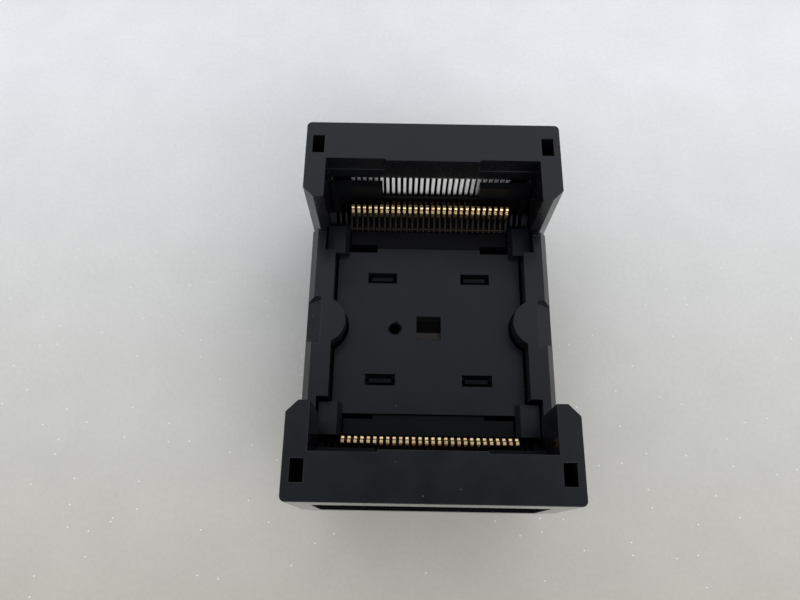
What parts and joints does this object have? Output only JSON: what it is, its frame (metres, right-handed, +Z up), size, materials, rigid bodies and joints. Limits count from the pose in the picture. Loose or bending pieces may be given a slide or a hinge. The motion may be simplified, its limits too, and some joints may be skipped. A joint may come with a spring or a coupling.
{
  "type": "ic test socket",
  "caption": "Open-top test socket: pressing its sprung, frame-shaped cover swings two rows of gold contacts open, so that a thin chip drops onto the nest plate between them.",
  "frame": {"origin": "middle of the bounding box in plan, at the height of the terminal tips", "axes": "+X along the contact rows, +Y across them towards the end away from the viewer, +Z up towards the cover's top"},
  "size_m": [0.0208, 0.03, 0.016],
  "materials": {
    "cover_plastic": "black moulded plastic with a fine satin grain",
    "base_plastic": "black moulded plastic with a fine satin grain",
    "nest_plastic": "black moulded plastic, satin, faintly marked",
    "contact_gold": "gold plating over a stamped copper alloy strip",
    "spring_steel": "drawn spring wire"
  },
  "bodies": {
    "housing": {"base": "base_plastic", "nest_plate": "nest_plastic", "front_contact_guide": "base_plastic", "rear_contact_guide": "base_plastic", "left_spring": "spring_steel", "right_spring": "spring_steel", "front_terminals_1": "contact_gold", "front_terminals_2": "contact_gold", "front_terminals_3": "contact_gold", "front_terminals_4": "contact_gold", "rear_terminals_1": "contact_gold", "rear_terminals_2": "contact_gold", "rear_terminals_3": "contact_gold", "rear_terminals_4": "contact_gold"},
    "cover": {"cover": "cover_plastic"},
    "front_contacts": {"front_arms_1": "contact_gold", "front_arms_2": "contact_gold", "front_arms_3": "contact_gold", "front_arms_4": "contact_gold"},
    "rear_contacts": {"rear_arms_1": "contact_gold", "rear_arms_2": "contact_gold", "rear_arms_3": "contact_gold", "rear_arms_4": "contact_gold"}
  },
  "joints": [
    {"name": "cover_press", "type": "slide", "parent": "housing", "child": "cover", "axis": [0, 0, -1], "range_m": [0, 0.002], "stiffness_N_per_m": 1000, "springref_m": -0.0003, "deforming": ["left_spring", "right_spring"]},
    {"name": "front_contacts_swing", "type": "hinge", "parent": "housing", "child": "front_contacts", "pos_m": [0, -0.0112, 0.0056], "axis": [1, 0, 0], "range_deg": [0, 12]},
    {"name": "rear_contacts_swing", "type": "hinge", "parent": "housing", "child": "rear_contacts", "pos_m": [0, 0.0112, 0.0056], "axis": [-1, 0, 0], "range_deg": [0, 12]}
  ],
  "couplings": [
    {"joint": "front_contacts_swing", "follows": "cover_press", "rad_per_m": 78},
    {"joint": "rear_contacts_swing", "follows": "cover_press", "rad_per_m": 78}
  ]
}
